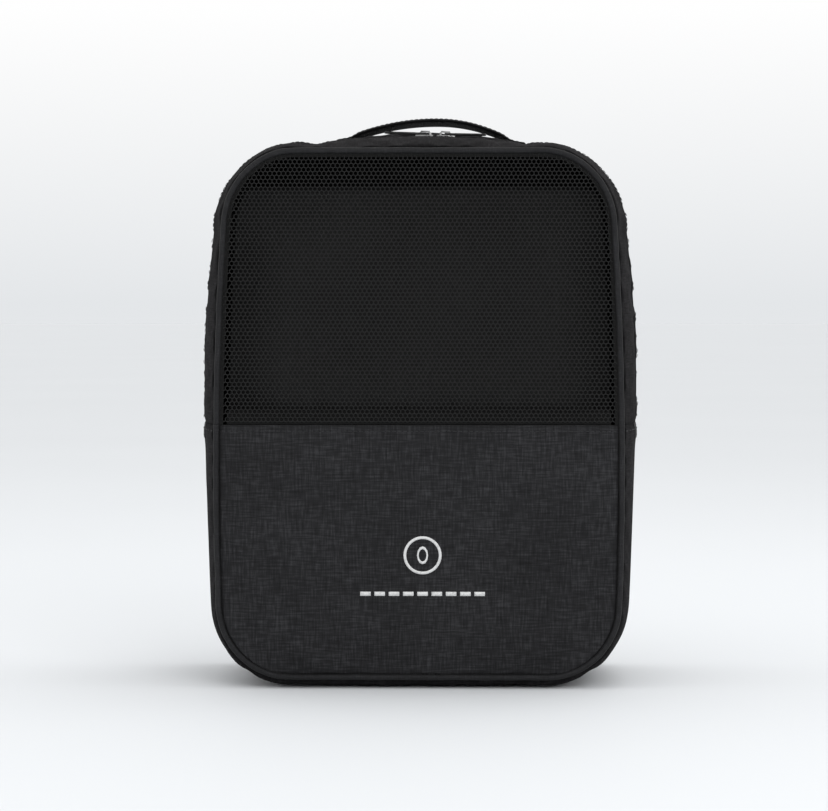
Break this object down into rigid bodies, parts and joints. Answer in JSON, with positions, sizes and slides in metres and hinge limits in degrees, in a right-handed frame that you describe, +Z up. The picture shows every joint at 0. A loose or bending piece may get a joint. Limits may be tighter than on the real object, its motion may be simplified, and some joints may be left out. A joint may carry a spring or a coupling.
{
  "type": "shoe bag",
  "caption": "Upright soft shoe bag with a piped front, a mesh window flap on a double-slider zip, a padded gusset and a top handle.",
  "frame": {"origin": "centre of the bounding box, on the ground under the base", "axes": "+Z up, +X to the bag's right as its front is looked at, -Y towards the front with the mesh window"},
  "size_m": [0.2594, 0.125, 0.334],
  "materials": {
    "oxford": "two-tone woven oxford, matte",
    "gusset_fabric": "plain woven, matte",
    "mesh": "open net, matte",
    "piping_tape": "woven, slight sheen",
    "binding_tape": "folded tape",
    "lining": "thin plain weave",
    "foam": "soft closed-cell foam",
    "board": "stiff sheet",
    "zip_tape": "ribbed tape",
    "zip_coil": "nylon coil",
    "webbing": "woven strap",
    "zip_metal": "dark nickel plate"
  },
  "bodies": {
    "bag": {"back_panel": "oxford", "back_foam": "foam", "back_lining": "lining", "back_piping": "piping_tape", "back_binding": "binding_tape", "lower_front_panel": "oxford", "lower_front_foam": "foam", "lower_front_lining": "lining", "lower_front_piping": "piping_tape", "lower_front_binding": "binding_tape", "base_gusset": "gusset_fabric", "base_lining": "lining", "rear_gusset": "gusset_fabric", "rear_gusset_lining": "lining", "base_board": "board", "zip_end_tabs": "binding_tape", "rear_zip_tape": "zip_tape", "rear_zip_coil": "zip_coil", "divider_panel": "lining", "divider_binding": "binding_tape", "handle_strap": "webbing", "handle_patches": "webbing"},
    "flap": {"mesh_window": "mesh", "window_seam_tape": "binding_tape", "flap_piping": "piping_tape", "flap_binding": "binding_tape", "flap_gusset": "gusset_fabric", "flap_gusset_lining": "lining", "flap_zip_tape": "zip_tape", "flap_zip_coil": "zip_coil"},
    "left_slider": {"left_slider": "zip_metal"},
    "left_pull": {"left_pull": "zip_metal"},
    "right_slider": {"right_slider": "zip_metal"},
    "right_pull": {"right_pull": "zip_metal"}
  },
  "joints": [
    {"name": "flap_fold", "type": "hinge", "parent": "bag", "child": "flap", "pos_m": [0, -0.0625, 0.153], "axis": [1, 0, 0], "range_deg": [0, 150], "deforming": ["flap_zip_coil", "flap_zip_tape"]},
    {"name": "left_slider_travel", "type": "hinge", "parent": "bag", "child": "left_slider", "pos_m": [0, -0.0175, -0.05138], "axis": [0, 1, 0], "range_deg": [-8.8, 0], "deforming": ["rear_zip_coil", "flap_zip_coil"]},
    {"name": "right_slider_travel", "type": "hinge", "parent": "bag", "child": "right_slider", "pos_m": [0, -0.0175, -0.05138], "axis": [0, 1, 0], "range_deg": [0, 6.01], "deforming": ["rear_zip_coil", "flap_zip_coil"]},
    {"name": "left_pull_swing", "type": "hinge", "parent": "left_slider", "child": "left_pull", "pos_m": [0.00314, -0.0175, 0.32333], "axis": [0, 1, 0], "range_deg": [0, 100]},
    {"name": "right_pull_swing", "type": "hinge", "parent": "right_slider", "child": "right_pull", "pos_m": [0.01508, -0.0175, 0.32304], "axis": [0, -1, 0], "range_deg": [0, 100]}
  ]
}
